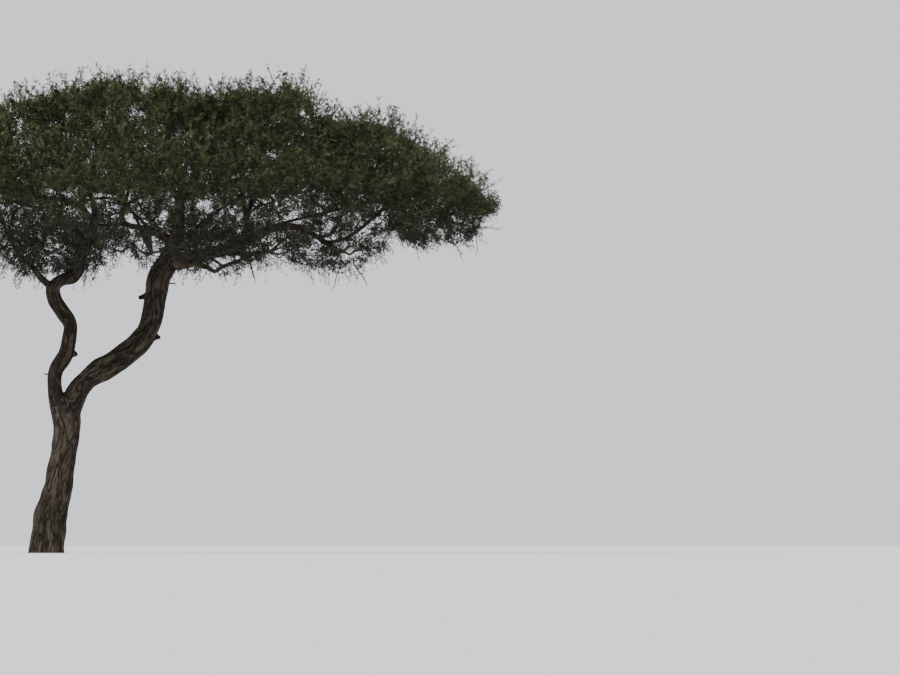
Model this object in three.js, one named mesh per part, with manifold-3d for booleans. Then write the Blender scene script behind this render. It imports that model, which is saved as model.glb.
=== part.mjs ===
// A flat-topped acacia of the savanna, whole, from its cut at ground level to its highest twigs.
// Millimetres, +Z up, +X to the right as one looks along +Y. The origin is the middle of the trunk's foot.
import * as THREE from "three";
import { mergeVertices } from "three/addons/utils/BufferGeometryUtils.js";
import Module from "manifold-3d";

// Driving dimensions: the crown is an elliptical dome over a flat underside
const CROWN = {
  middle: 2920, // the crown's middle stands this far to the right of the foot
  reachX: 6450,
  reachY: 5600,
  top: 10000,
  rim: 7320, // height of the crown's outermost tips
  base: 5560,
  domePower: 2.6,
  basePower: 6,
};
// The masses of foliage stand in tiers. Places are shares of the crown's reach, angles run from +X to +Y.
// The leader of a mass is the twig that reaches the crown's edge: up, down or out.
const TIERS = [
  { name: "crown_top", leader: "up", count: 1, reach: 0, first: 0, z: 8750, round: 1500, deep: 1300 },
  { name: "crown_inner", leader: "up", count: 6, reach: 0.42, first: 12, z: 8500, round: 1650, deep: 1350 },
  { name: "crown_rim", leader: "out", count: 10, reach: 0.8, first: 0, z: 7480, round: 1850, deep: 1250 },
  { name: "crown_under", leader: "down", count: 7, reach: 0.52, first: 8, z: 6250, round: 1500, deep: 760 },
];
const CLEAR = 0.3; // between neighbouring pieces
const SPACE_MARGIN = 12; // foliage stays this far inside its own space
const CELL_POWER = 3; // a mass is a cushion rather than a ball

// Twigs and leaves. Each leaf stands for a spray, so it is larger than life.
const TIPS = 8; // twig tips to a mass
const LEAVES_A_TIP = 2;
const ENOUGH_LEAVES = 16; // a mass is grown anew from another seed until it has these, or seeds run out
const STARTS = 8;
const LEAF = { long: 1000, least: 450, slim: 0.58, thick: 26, widest: 0.56, sunk: 28, tries: 14 };
const TWIG = { stem: 40, tip: 18, sides: 3, stemSides: 4, shoulder: 0.15 };
const STEM_SHARE = 0.35; // the stem of a mass runs this share of the way to the mass's middle
const STEM_STRAY = 0.9; // and aims past the middle by up to about half this share of the mass's depth
const THRIFT = 0.45; // how much a twig prefers a short way down to the stem over a short twig

// The limbs that can be followed one by one. Each knot is [across, height, radius].
const TRUNK = {
  depth: [0, 0],
  knots: [
    [-6, -150, 358],
    [8, 120, 349],
    [58, 717, 342],
    [190, 1210, 304],
    [292, 1825, 272],
    [402, 2562, 276],
    [395, 2930, 290],
    [395, 3190, 170],
  ],
};
const LEFT_STEM = {
  depth: [0, -520],
  knots: [
    [300, 2700, 190],
    [158, 3342, 150],
    [172, 3710, 156],
    [360, 4038, 156],
    [467, 4448, 152],
    [480, 4674, 145],
    [332, 4930, 158],
    [166, 5166, 154],
    [129, 5391, 146],
    [190, 5500, 135],
  ],
};
const RIGHT_STEM = {
  depth: [0, 260],
  knots: [
    [400, 2700, 240],
    [584, 3260, 225],
    [790, 3530, 212],
    [1030, 3712, 240],
    [1335, 3892, 250],
    [1688, 4142, 240],
    [1940, 4390, 236],
    [2070, 4653, 220],
    [2163, 4961, 220],
    [2214, 5330, 228],
    [2275, 5660, 236],
    [2400, 5880, 226],
    [2520, 6120, 205],
  ],
};
// Where each stem is parted, as shares of its length: from the trunk, and into a lower and an upper piece
const CUTS = { left: [0.2, 0.56], right: [0.2, 0.64], apart: 0.00008 };
const ROOTS = { count: 5, rise: 520, share: 0.07, turn: 0.6 }; // low ridges where the roots begin
// Snags left where branches broke off: which stem, how far up it, the side they point to, their size
const SNAGS = [
  { stem: "left", at: 0.33, toDeg: 12, long: 115, thick: 60, blunt: 0.8 },
  { stem: "left", at: 0.197, toDeg: 170, long: 85, thick: 22, blunt: 0.5 },
  { stem: "right", at: 0.485, toDeg: 12, long: 190, thick: 58, blunt: 0.85 },
  { stem: "right", at: 0.76, toDeg: 200, long: 165, thick: 60, blunt: 0.9 },
  { stem: "right", at: 0.81, toDeg: -8, long: 145, thick: 22, blunt: 0.5 },
];
// Boughs seen in full. carries names the mass whose stem goes on from the bough's tip.
const BOUGHS = [
  {
    name: "left_bough",
    depth: [-520, -640],
    carries: "crown_inner_4",
    knots: [
      [190, 5500, 130],
      [330, 5580, 120],
      [520, 5640, 156],
      [640, 5790, 142],
      [700, 5950, 122],
      [790, 6190, 104],
      [912, 6520, 84],
      [990, 7000, 64],
      [900, 7350, 52],
    ],
  },
  {
    name: "left_side_bough",
    depth: [-500, -900],
    carries: "crown_under_5",
    knots: [
      [130, 5410, 84],
      [-10, 5530, 76],
      [-102, 5617, 72],
      [-256, 5801, 58],
      [-370, 5900, 48],
      [-530, 5970, 40],
    ],
  },
  {
    name: "upright_bough",
    depth: [260, 180],
    carries: "crown_top_1",
    knots: [
      [2520, 6120, 200],
      [2620, 6420, 160],
      [2690, 6820, 128],
      [2700, 7230, 100],
      [2790, 7640, 78],
    ],
  },
  {
    name: "right_low_bough_inner",
    depth: [260, -330],
    knots: [
      [2440, 5960, 150],
      [2760, 6000, 178],
      [3219, 6110, 140],
      [3600, 6215, 115],
      [3936, 6340, 102],
      [4500, 6600, 84],
    ],
  },
  {
    name: "right_low_bough_outer",
    depth: [-330, -560],
    carries: "crown_under_1",
    knots: [
      [4500, 6600, 84],
      [4860, 6680, 76],
      [5207, 6640, 68],
      [5590, 6420, 56],
      [5960, 6140, 46],
    ],
  },
  {
    name: "kinked_bough",
    depth: [40, -1500],
    carries: "crown_under_7",
    knots: [
      [2900, 6030, 84],
      [3116, 5905, 66],
      [3290, 5842, 52],
      [3440, 5750, 48],
      [3600, 5830, 46],
      [3780, 5895, 44],
      [3998, 5965, 42],
      [4250, 6060, 38],
    ],
  },
  {
    name: "inner_left_bough",
    depth: [240, 620],
    carries: "crown_under_4",
    knots: [
      [2560, 6300, 110],
      [2380, 6480, 92],
      [2091, 6640, 74],
      [1784, 6710, 62],
      [1400, 6780, 52],
      [1020, 6720, 42],
    ],
  },
];
const PORTS = [0.3, 0.43, 0.56, 0.69, 0.8]; // shares of a limb's length where a further bough may leave it
const BOUGH_TIP = 38; // radius where a bough enters a mass
const BOUGH_GAIN = 0.019; // radius that a bough gains for each unit of its length
const BOUGH_DEPTH = 0.62; // share of the way from a mass's middle to its edge at which its bough ends

const BARK = { color: 0x4b3f35, roughness: 0.95, metalness: 0 };
const FOLIAGE = { color: 0x4c5a2c, roughness: 0.8, metalness: 0 };

const wasm = await Module();
wasm.setup();

const vec = (x, y, z) => new THREE.Vector3(x, y, z);
const rad = THREE.MathUtils.degToRad;
const lerp = THREE.MathUtils.lerp;

// Seeded random numbers from 0 to 1
function randomFrom(seed) {
  let state = seed >>> 0;
  return () => {
    state = (state + 0x6d2b79f5) >>> 0;
    let t = Math.imul(state ^ (state >>> 15), state | 1);
    t ^= t + Math.imul(t ^ (t >>> 7), t | 61);
    return ((t ^ (t >>> 14)) >>> 0) / 4294967296;
  };
}

// three.js geometry to a solid and back
function solidFrom(geometry) {
  const bare = geometry.clone();
  bare.deleteAttribute("normal");
  bare.deleteAttribute("uv");
  const merged = mergeVertices(bare, 1e-3);
  return new wasm.Manifold(
    new wasm.Mesh({
      numProp: 3,
      vertProperties: merged.attributes.position.array,
      triVerts: new Uint32Array(merged.index.array),
    }),
  );
}

function geometryFrom(solid) {
  const mesh = solid.getMesh();
  const geometry = new THREE.BufferGeometry();
  geometry.setAttribute("position", new THREE.BufferAttribute(mesh.vertProperties, mesh.numProp));
  geometry.setIndex(new THREE.BufferAttribute(mesh.triVerts, 1));
  return geometry;
}

function largestPiece(solid) {
  return solid.decompose().reduce((best, piece) => (piece.volume() > best.volume() ? piece : best));
}

// A limb's course: a smooth line through its knots, with the radius at each place on it
function course(limb) {
  const last = limb.knots.length - 1;
  const points = limb.knots.map(([x, z], i) => vec(x, lerp(limb.depth[0], limb.depth[1], i / last), z));
  const line = new THREE.CatmullRomCurve3(points, false, "centripetal");
  const radiusAt = (t) => {
    const i = Math.min(Math.floor(t * last), last - 1);
    return lerp(limb.knots[i][2], limb.knots[i + 1][2], t * last - i);
  };
  return { line, radiusAt, steps: last };
}

// A cylinder's grid bent along a course from one place on it to another, and closed at both ends
function limbGeometry({ line, radiusAt }, sides, steps, options = {}) {
  const { from = 0, to = 1, wider = 0, swell = () => 1 } = options;
  const geometry = new THREE.CylinderGeometry(1, 1, 1, sides, steps);
  const position = geometry.attributes.position;
  const frames = [];
  let across = vec(0, 1, 0);
  for (let k = 0; k <= steps; k++) {
    const t = lerp(from, to, k / steps);
    const along = line.getTangent(t);
    across = across.clone().addScaledVector(along, -across.dot(along)).normalize();
    const past = k === 0 ? -wider : k === steps ? wider : 0;
    const at = line.getPoint(t).addScaledVector(along, past);
    frames.push({ t, at, across, over: along.clone().cross(across) });
  }
  for (let i = 0; i < position.count; i++) {
    const k = Math.round((position.getY(i) + 0.5) * steps);
    const { t, at, across, over } = frames[k];
    const turn = Math.atan2(position.getZ(i), position.getX(i));
    const distance = Math.hypot(position.getX(i), position.getZ(i));
    const radius = distance < 0.5 ? 0 : radiusAt(t) * swell(at.z, turn) + wider;
    const place = at.clone();
    place.addScaledVector(across, radius * Math.sin(turn));
    place.addScaledVector(over, radius * Math.cos(turn));
    position.setXYZ(i, place.x, place.y, place.z);
  }
  return geometry;
}

function limbSolid(limb, sides, steps, options) {
  return solidFrom(limbGeometry(limb, sides, steps, options));
}

// A blunt snag that stands out of a stem
function snagSolid(stem, { at, toDeg, long, thick, blunt }, wider) {
  const foot = stem.line.getPoint(at);
  const way = vec(Math.cos(rad(toDeg)), 0, Math.sin(rad(toDeg)));
  const whole = stem.radiusAt(at) + long + wider;
  const geometry = new THREE.CylinderGeometry(thick * blunt + wider, thick + wider, whole, 7, 1);
  geometry.translate(0, whole / 2, 0);
  geometry.applyQuaternion(new THREE.Quaternion().setFromUnitVectors(vec(0, 1, 0), way));
  geometry.translate(foot.x, foot.y, foot.z);
  return solidFrom(geometry);
}

const nodes = []; // {name, solid, kind} in the order they are made
const limbs = []; // {name, way, solid, wide}: wide is the same limb with the clearance round it

function addLimb(name, way, solid, wide) {
  limbs.push({ name, way, solid, wide });
  nodes.push({ name, solid, kind: "bark" });
}

// Trunk and stems
function rootSwell(z, turn) {
  const low = Math.max(0, 1 - z / ROOTS.rise);
  return 1 + ROOTS.share * low * low * (1 + Math.cos(ROOTS.count * turn + ROOTS.turn));
}

function makeStems() {
  const stems = { trunk: course(TRUNK), left: course(LEFT_STEM), right: course(RIGHT_STEM) };
  const piece = (name, way, from, to, tubes) => {
    const build = (wider) => {
      const snags = SNAGS.filter((snag) => stems[snag.stem] === way && snag.at >= from && snag.at < to);
      return wasm.Manifold.union([
        ...tubes(wider),
        ...snags.map((snag) => snagSolid(way, snag, wider)),
      ]);
    };
    addLimb(name, way, build(0).trimByPlane([0, 0, 1], 0), build(CLEAR));
  };
  const tube = (way, sides, steps, from, to) => (wider) => limbSolid(way, sides, steps, { wider, from, to });
  const { trunk, left, right } = stems;
  piece("trunk", trunk, 0, 1, (wider) => [
    limbSolid(trunk, 18, 9, { wider, swell: rootSwell }),
    tube(left, 12, 4, 0, CUTS.left[0] - CUTS.apart)(wider),
    tube(right, 14, 4, 0, CUTS.right[0] - CUTS.apart)(wider),
  ]);
  for (const [side, way, sides, steps] of [["left", left, 12, 7], ["right", right, 14, 8]]) {
    const [first, second] = CUTS[side];
    const lower = tube(way, sides, steps, first, second - CUTS.apart);
    const upper = tube(way, sides, steps, second, 1);
    piece(`${side}_stem_lower`, way, first, second, (wider) => [lower(wider)]);
    piece(`${side}_stem_upper`, way, second, 1, (wider) => [upper(wider)]);
  }
}

// A bough: its foot is cut clear of every limb made before it. A clean one loses only its foot.
function makeBough(name, way, sides, steps) {
  const whole = limbSolid(way, sides, steps);
  const others = wasm.Manifold.union(limbs.map((limb) => limb.wide));
  const left = whole.subtract(others);
  const solid = largestPiece(left);
  const wide = limbSolid(way, sides, steps, { wider: CLEAR });
  return { clean: solid.volume() > 0.98 * left.volume(), put: () => addLimb(name, way, solid, wide) };
}

// The masses of foliage and the space that each keeps to
function crownShare(p) {
  return Math.hypot((p.x - CROWN.middle) / CROWN.reachX, p.y / CROWN.reachY);
}

function makeMasses() {
  return TIERS.flatMap((tier) =>
    Array.from({ length: tier.count }, (_, i) => {
      const turn = rad(tier.first + (360 * i) / tier.count);
      const x = CROWN.middle + tier.reach * CROWN.reachX * Math.cos(turn);
      const y = tier.reach * CROWN.reachY * Math.sin(turn);
      return { name: `${tier.name}_${i + 1}`, tier, middle: vec(x, y, tier.z) };
    }),
  );
}

const masses = makeMasses();

function inSpace(mass, p, margin = SPACE_MARGIN) {
  const share = crownShare(p);
  if (share > 1) return false;
  const top = CROWN.rim + (CROWN.top - CROWN.rim) * (1 - share ** CROWN.domePower);
  const base = CROWN.base + (CROWN.rim - CROWN.base) * share ** CROWN.basePower;
  if (p.z > top || p.z < base) return false;
  const out = p.clone().sub(mass.middle);
  const flat = Math.hypot(out.x, out.y) / mass.tier.round;
  if (flat ** CELL_POWER + Math.abs(out.z / mass.tier.deep) ** CELL_POWER > 1) return false;
  return masses.every((other) => {
    if (other === mass) return true;
    const between = other.middle.clone().sub(mass.middle);
    const halfway = between.length() / 2 - out.dot(between) / between.length();
    return halfway > margin;
  });
}

// How far a mass's space goes in a direction from a place in it
function edgeDistance(mass, way, from = mass.middle) {
  let near = 0;
  let far = mass.tier.round * 2;
  for (let i = 0; i < 14; i++) {
    const half = (near + far) / 2;
    if (inSpace(mass, from.clone().addScaledVector(way, half))) near = half;
    else far = half;
  }
  return near;
}

// The direction from a mass's middle to where its leader reaches the crown's edge
function leaderWay({ tier, middle }) {
  if (tier.leader === "up") return vec(0, 0, 1);
  if (tier.leader === "down") return vec(0, 0, -1);
  const x = CROWN.middle + (middle.x - CROWN.middle) / tier.reach;
  return vec(x, middle.y / tier.reach, CROWN.rim).sub(middle).normalize();
}

// A loose direction, of no fixed length
function anyWay(random) {
  return vec(random() - 0.5, random() - 0.5, random() - 0.5);
}

// Directions spread evenly over a sphere, turned by a seeded start
function evenDirections(count, random) {
  const start = random();
  return Array.from({ length: count }, (_, i) => {
    const up = 1 - (2 * i + 1) / count;
    const turn = 2 * Math.PI * ((start + i * 0.618034) % 1);
    const flat = Math.sqrt(1 - up * up);
    return vec(flat * Math.cos(turn), flat * Math.sin(turn), up);
  });
}

// Boughs that lead to the masses that no bough above carries
function ports() {
  const found = [];
  for (const { name, way } of limbs) {
    if (name === "trunk" || name.includes("stem_lower") || name === "left_stem_upper") continue;
    const places = name === "right_stem_upper" ? [0.93] : PORTS;
    for (const t of places) found.push({ way, t, at: way.line.getPoint(t) });
  }
  return found;
}

function boughWay(port, tip, outward, bow) {
  const long = port.at.distanceTo(tip);
  const leave = port.way.line.getTangent(port.t).lerp(tip.clone().sub(port.at).normalize(), 0.45).normalize();
  const aside = leave.clone().cross(vec(0, 0, 1)).normalize();
  const first = port.at.clone().addScaledVector(leave, long * 0.36).addScaledVector(aside, bow * long);
  const second = tip.clone().addScaledVector(outward, -long * 0.34).addScaledVector(aside, bow * long);
  const line = new THREE.CubicBezierCurve3(port.at, first, second, tip);
  const foot = Math.min(BOUGH_TIP + BOUGH_GAIN * long, 0.8 * port.way.radiusAt(port.t));
  return { line, radiusAt: (t) => lerp(Math.max(foot, BOUGH_TIP), BOUGH_TIP, t), steps: 6 };
}

function makeBoughs() {
  for (const bough of BOUGHS) {
    const way = course(bough);
    makeBough(bough.name, way, 8, way.steps).put();
    const mass = masses.find((m) => m.name === bough.carries);
    if (mass) mass.entry = way;
  }
  const hub = limbs.find((limb) => limb.name === "upright_bough").way.line.getPoint(0);
  const waiting = masses.filter((mass) => !mass.entry);
  waiting.sort((a, b) => a.middle.distanceTo(hub) - b.middle.distanceTo(hub));
  for (const mass of waiting) {
    const inward = hub.clone().sub(mass.middle).normalize();
    const tip = mass.middle.clone().addScaledVector(inward, BOUGH_DEPTH * edgeDistance(mass, inward));
    const cost = (port) => port.at.distanceTo(tip) + 0.35 * port.at.distanceTo(hub);
    const port = ports().reduce((best, next) => (cost(next) < cost(best) ? next : best));
    const outward = mass.middle.clone().sub(tip).normalize();
    for (const bow of [0, 0.08, -0.08, 0.16, -0.16]) {
      const way = boughWay(port, tip, outward, bow);
      const made = makeBough(`bough_to_${mass.name}`, way, 6, 5);
      if (!made.clean) continue;
      made.put();
      mass.entry = way;
      break;
    }
    if (!mass.entry) throw new Error(`no way for a bough to ${mass.name}`);
  }
}

// Twigs: tips near the edge of the space, each joined to the place that is the shortest way to the stem
function growTwigs(mass, random) {
  const root = mass.entry.line.getPoint(1);
  const along = mass.entry.line.getTangent(1);
  const foot = root.clone().addScaledVector(along, CLEAR);
  const aim = mass.middle.clone().addScaledVector(anyWay(random), mass.tier.deep * STEM_STRAY);
  const fork = foot.clone().lerp(aim, STEM_SHARE);
  const twigs = [
    { at: foot, from: -1, path: 0 },
    { at: fork, from: 0, path: foot.distanceTo(fork) },
  ];
  const flat = mass.tier.deep / mass.tier.round;
  const ways = evenDirections(TIPS - 1, random).map((way) => vec(way.x, way.y, way.z * flat).normalize());
  const tips = [leaderWay(mass), ...ways]
    .map((way) => {
      const edge = edgeDistance(mass, way);
      return { way, at: mass.middle.clone().addScaledVector(way, Math.max(edge - LEAF.long, edge * 0.3)) };
    })
    .sort((a, b) => a.at.distanceTo(fork) - b.at.distanceTo(fork));
  for (const tip of tips) {
    let best = 1;
    const cost = (i) => twigs[i].at.distanceTo(tip.at) + THRIFT * twigs[i].path;
    for (let i = 2; i < twigs.length; i++) if (cost(i) < cost(best)) best = i;
    const path = twigs[best].path + twigs[best].at.distanceTo(tip.at);
    twigs.push({ at: tip.at, from: best, path, way: tip.way });
  }
  return twigs;
}

// Radius at each joint of the twigs, from how many tips lie past it
function twigRadii(twigs) {
  const fed = twigs.map((twig) => (twig.way ? 1 : 0));
  for (let i = twigs.length - 1; i > 0; i--) fed[twigs[i].from] += fed[i];
  twigs.forEach((twig, i) => {
    twig.radius = lerp(TWIG.tip, TWIG.stem, Math.sqrt((fed[i] - 1) / (fed[0] - 1)));
  });
  return fed;
}

// The twigs as unbranched runs: each run goes on through the child that feeds most tips
function twigRuns(twigs) {
  const fed = twigRadii(twigs);
  const heir = twigs.map(() => -1);
  for (let i = 1; i < twigs.length; i++) {
    const { from } = twigs[i];
    if (heir[from] < 0 || fed[i] > fed[heir[from]]) heir[from] = i;
  }
  const runs = [];
  for (let i = 1; i < twigs.length; i++) {
    if (i > 1 && heir[twigs[i].from] === i) continue;
    const run = [twigs[i].from, i];
    while (heir[run.at(-1)] >= 0) run.push(heir[run.at(-1)]);
    runs.push(run);
  }
  return runs;
}

// A run of twig as one tube. A side twig's foot is a point on the axis of the twig that carries it.
function runSolid(twigs, run, entry) {
  const isStem = run[0] === 0;
  const knots = run.map((i) => ({ at: twigs[i].at, radius: twigs[i].radius }));
  if (!isStem) {
    const side = knots[1].radius;
    const shoulder = knots[0].at.clone().lerp(knots[1].at, TWIG.shoulder);
    knots.splice(0, 1, { at: knots[0].at, radius: 0 }, { at: shoulder, radius: side });
  }
  const sides = isStem ? TWIG.stemSides : TWIG.sides;
  const geometry = new THREE.CylinderGeometry(1, 1, 1, sides, knots.length - 1);
  const position = geometry.attributes.position;
  const rings = knots.map(({ at, radius }, k) => {
    const before = knots[Math.max(k - 1, 0)].at;
    const after = knots[Math.min(k + 1, knots.length - 1)].at;
    const along = isStem && k === 0 ? entry.line.getTangent(1) : after.clone().sub(before).normalize();
    const across = vec(0.31, 0.52, 0.79).cross(along).normalize();
    return { at, radius, across, over: along.clone().cross(across) };
  });
  for (let i = 0; i < position.count; i++) {
    const { at, radius, across, over } = rings[Math.round((position.getY(i) + 0.5) * (knots.length - 1))];
    const x = position.getX(i) * radius;
    const z = position.getZ(i) * radius;
    position.setXYZ(i, ...at.clone().addScaledVector(across, z).addScaledVector(over, x));
  }
  return solidFrom(geometry);
}

// A leaf: a thin blade of length 1, flat below and keeled above. Its root is at the origin, its tip at +Y.
function leafGeometry() {
  const geometry = new THREE.OctahedronGeometry(1);
  const position = geometry.attributes.position;
  for (let i = 0; i < position.count; i++) {
    const y = position.getY(i);
    const along = Math.abs(y) < 0.5 ? LEAF.widest : (y + 1) / 2;
    const keel = Math.max(position.getZ(i), 0);
    position.setXYZ(i, (position.getX(i) * LEAF.slim) / 2, along, (keel * LEAF.thick) / LEAF.long);
  }
  return geometry;
}

const leafShape = leafGeometry();

// A leaf set at a place in its space, no longer than the room before it; null where it doesn't fit
function placeLeaf(mass, root, way, roll) {
  const long = Math.min(LEAF.long, edgeDistance(mass, way, root) - 2);
  if (long < LEAF.least) return null;
  const geometry = leafShape.clone();
  geometry.scale(long, long, long);
  geometry.rotateY(roll);
  geometry.applyQuaternion(new THREE.Quaternion().setFromUnitVectors(vec(0, 1, 0), way));
  geometry.translate(root.x, root.y, root.z);
  const position = geometry.attributes.position;
  for (let i = 0; i < position.count; i++) {
    if (!inSpace(mass, vec().fromBufferAttribute(position, i))) return null;
  }
  return solidFrom(geometry);
}

// The twigs of a mass that are clear of the limbs, and their leaves; null where its stem isn't clear
function growMass(mass, random, { bare, wide }) {
  const isClear = (solid) => solid.intersect(wide).isEmpty();
  const twigs = growTwigs(mass, random);
  const pieces = [];
  for (const run of twigRuns(twigs)) {
    const solid = runSolid(twigs, run, mass.entry);
    const isStem = run[0] === 0;
    if (isStem && !solid.intersect(bare).isEmpty()) return null;
    if (!isStem && !(twigs[run[0]].kept && isClear(solid))) continue;
    pieces.push(solid);
    for (const i of run.slice(1)) twigs[i].kept = true;
  }
  const runs = pieces.length;
  for (const { at, from, way, kept } of twigs) {
    if (!way || !kept) continue;
    const grown = at.clone().sub(twigs[from].at).normalize();
    const root = at.clone().addScaledVector(grown, -LEAF.sunk);
    for (let n = 0; n < LEAVES_A_TIP; n++) {
      for (let attempt = 0; attempt < LEAF.tries; attempt++) {
        const point = n === 0 ? way.clone() : way.clone().multiplyScalar(0.4).add(grown);
        point.addScaledVector(anyWay(random), n === 0 ? 0.2 * attempt : 2.2).normalize();
        const leaf = placeLeaf(mass, root, point, random() * Math.PI);
        if (!leaf || !isClear(leaf)) continue;
        pieces.push(leaf);
        break;
      }
    }
  }
  return { solid: largestPiece(wasm.Manifold.union(pieces).simplify(0.05)), leaves: pieces.length - runs };
}

function makeFoliage() {
  const wide = wasm.Manifold.union(limbs.map((limb) => limb.wide));
  const bare = wasm.Manifold.union(limbs.map((limb) => limb.solid));
  masses.forEach((mass, index) => {
    let best = null;
    for (let start = 0; start < STARTS && !(best?.leaves >= ENOUGH_LEAVES); start++) {
      const grown = growMass(mass, randomFrom(1000 + index + start * masses.length), { bare, wide });
      if (grown && !(best?.leaves >= grown.leaves)) best = grown;
    }
    if (!best) throw new Error(`no way for the stem of ${mass.name}`);
    nodes.push({ name: mass.name, solid: best.solid, kind: "foliage" });
  });
}

makeStems();
makeBoughs();
makeFoliage();

const tree = new THREE.Group();
for (const { name, solid, kind } of nodes) {
  const material = new THREE.MeshStandardMaterial(kind === "bark" ? BARK : FOLIAGE);
  const mesh = new THREE.Mesh(geometryFrom(solid), material);
  mesh.name = name;
  tree.add(mesh);
}

export default tree;
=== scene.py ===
import math
import bpy
import bmesh
import numpy as np
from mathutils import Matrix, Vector, noise


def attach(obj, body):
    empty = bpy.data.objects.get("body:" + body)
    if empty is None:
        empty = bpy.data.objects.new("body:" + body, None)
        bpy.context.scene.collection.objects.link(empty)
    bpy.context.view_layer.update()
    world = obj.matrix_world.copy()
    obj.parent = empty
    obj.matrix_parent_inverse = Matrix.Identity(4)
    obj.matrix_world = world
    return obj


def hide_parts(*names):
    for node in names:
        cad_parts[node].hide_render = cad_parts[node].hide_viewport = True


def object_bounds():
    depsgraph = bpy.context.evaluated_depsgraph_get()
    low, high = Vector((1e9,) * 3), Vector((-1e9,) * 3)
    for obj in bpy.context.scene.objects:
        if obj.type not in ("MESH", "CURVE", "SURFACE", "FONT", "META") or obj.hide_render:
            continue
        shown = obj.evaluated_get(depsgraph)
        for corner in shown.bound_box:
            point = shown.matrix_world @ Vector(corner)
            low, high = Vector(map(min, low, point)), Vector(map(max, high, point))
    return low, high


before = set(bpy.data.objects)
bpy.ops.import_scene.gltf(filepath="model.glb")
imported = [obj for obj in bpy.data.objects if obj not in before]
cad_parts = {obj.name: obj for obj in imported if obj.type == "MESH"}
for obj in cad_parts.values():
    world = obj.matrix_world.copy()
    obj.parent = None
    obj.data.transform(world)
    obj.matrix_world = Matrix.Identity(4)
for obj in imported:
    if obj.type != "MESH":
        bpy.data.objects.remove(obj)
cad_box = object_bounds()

MM = 0.001
TINY = 1e-9
GOLDEN = 0.618034  # turns of this share of a circle never come round to the same place
LEANING = [0.31, 0.52, 0.79]  # a direction that hardly any twig runs along

# The photograph: its camera is far off and close to the ground
PHOTO = {"width": 900, "height": 675}
MM_A_PIXEL = 20.5
FOOT_PIXEL = (47.5, 553)  # where the middle of the trunk's foot stands in the photograph
CAMERA = {"lens": 285.0, "sensor": 36.0, "height": 150.0, "metres_seen": 20000}

# The crown's dome and the masses, as in the model
CROWN = {
    "middle": 2920, "reach_x": 6450, "reach_y": 5600,
    "top": 10000, "rim": 7320, "base": 5560,
    "dome_power": 2.6, "base_power": 6,
}
TIERS = [
    {"name": "crown_top", "count": 1, "reach": 0, "first": 0, "z": 8750, "round": 1500, "deep": 1300},
    {"name": "crown_inner", "count": 6, "reach": 0.42, "first": 12, "z": 8500, "round": 1650, "deep": 1350},
    {"name": "crown_rim", "count": 10, "reach": 0.8, "first": 0, "z": 7480, "round": 1850, "deep": 1250},
    {"name": "crown_under", "count": 7, "reach": 0.52, "first": 8, "z": 6250, "round": 1500, "deep": 760},
]
CLEAR = 0.3  # between a mass's stem and its bough's tip
SPACE = {"power": 3, "margin": 12, "halvings": 14}

# The limbs. Each knot is [across, height, radius], and depth is how far away its first and last knot are.
TRUNK = {"depth": [0, 0], "knots": [
    [-6, -150, 358], [8, 120, 349], [58, 717, 342], [190, 1210, 304], [292, 1825, 272], [402, 2562, 276],
    [395, 2930, 290], [395, 3190, 170],
]}
LEFT_STEM = {"depth": [0, -520], "knots": [
    [300, 2700, 190], [158, 3342, 150], [172, 3710, 156], [360, 4038, 156], [467, 4448, 152],
    [480, 4674, 145], [332, 4930, 158], [166, 5166, 154], [129, 5391, 146], [190, 5500, 135],
]}
RIGHT_STEM = {"depth": [0, 260], "knots": [
    [400, 2700, 240], [584, 3260, 225], [790, 3530, 212], [1030, 3712, 240], [1335, 3892, 250],
    [1688, 4142, 240], [1940, 4390, 236], [2070, 4653, 220], [2163, 4961, 220], [2214, 5330, 228],
    [2275, 5660, 236], [2400, 5880, 226], [2520, 6120, 205],
]}
BOUGHS = [
    {"name": "left_bough", "depth": [-520, -640], "carries": "crown_inner_4", "knots": [
        [190, 5500, 130], [330, 5580, 120], [520, 5640, 156], [640, 5790, 142], [700, 5950, 122],
        [790, 6190, 104], [912, 6520, 84], [990, 7000, 64], [900, 7350, 52],
    ]},
    {"name": "left_side_bough", "depth": [-500, -900], "carries": "crown_under_5", "knots": [
        [130, 5410, 84], [-10, 5530, 76], [-102, 5617, 72], [-256, 5801, 58], [-370, 5900, 48],
        [-530, 5970, 40],
    ]},
    {"name": "upright_bough", "depth": [260, 180], "carries": "crown_top_1", "knots": [
        [2520, 6120, 200], [2620, 6420, 160], [2690, 6820, 128], [2700, 7230, 100], [2790, 7640, 78],
    ]},
    {"name": "right_low_bough_inner", "depth": [260, -330], "carries": None, "knots": [
        [2440, 5960, 150], [2760, 6000, 178], [3219, 6110, 140], [3600, 6215, 115], [3936, 6340, 102],
        [4500, 6600, 84],
    ]},
    {"name": "right_low_bough_outer", "depth": [-330, -560], "carries": "crown_under_1", "knots": [
        [4500, 6600, 84], [4860, 6680, 76], [5207, 6640, 68], [5590, 6420, 56], [5960, 6140, 46],
    ]},
    {"name": "kinked_bough", "depth": [40, -1500], "carries": "crown_under_7", "knots": [
        [2900, 6030, 84], [3116, 5905, 66], [3290, 5842, 52], [3440, 5750, 48], [3600, 5830, 46],
        [3780, 5895, 44], [3998, 5965, 42], [4250, 6060, 38],
    ]},
    {"name": "inner_left_bough", "depth": [240, 620], "carries": "crown_under_4", "knots": [
        [2560, 6300, 110], [2380, 6480, 92], [2091, 6640, 74], [1784, 6710, 62], [1400, 6780, 52],
        [1020, 6720, 42],
    ]},
]
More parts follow.
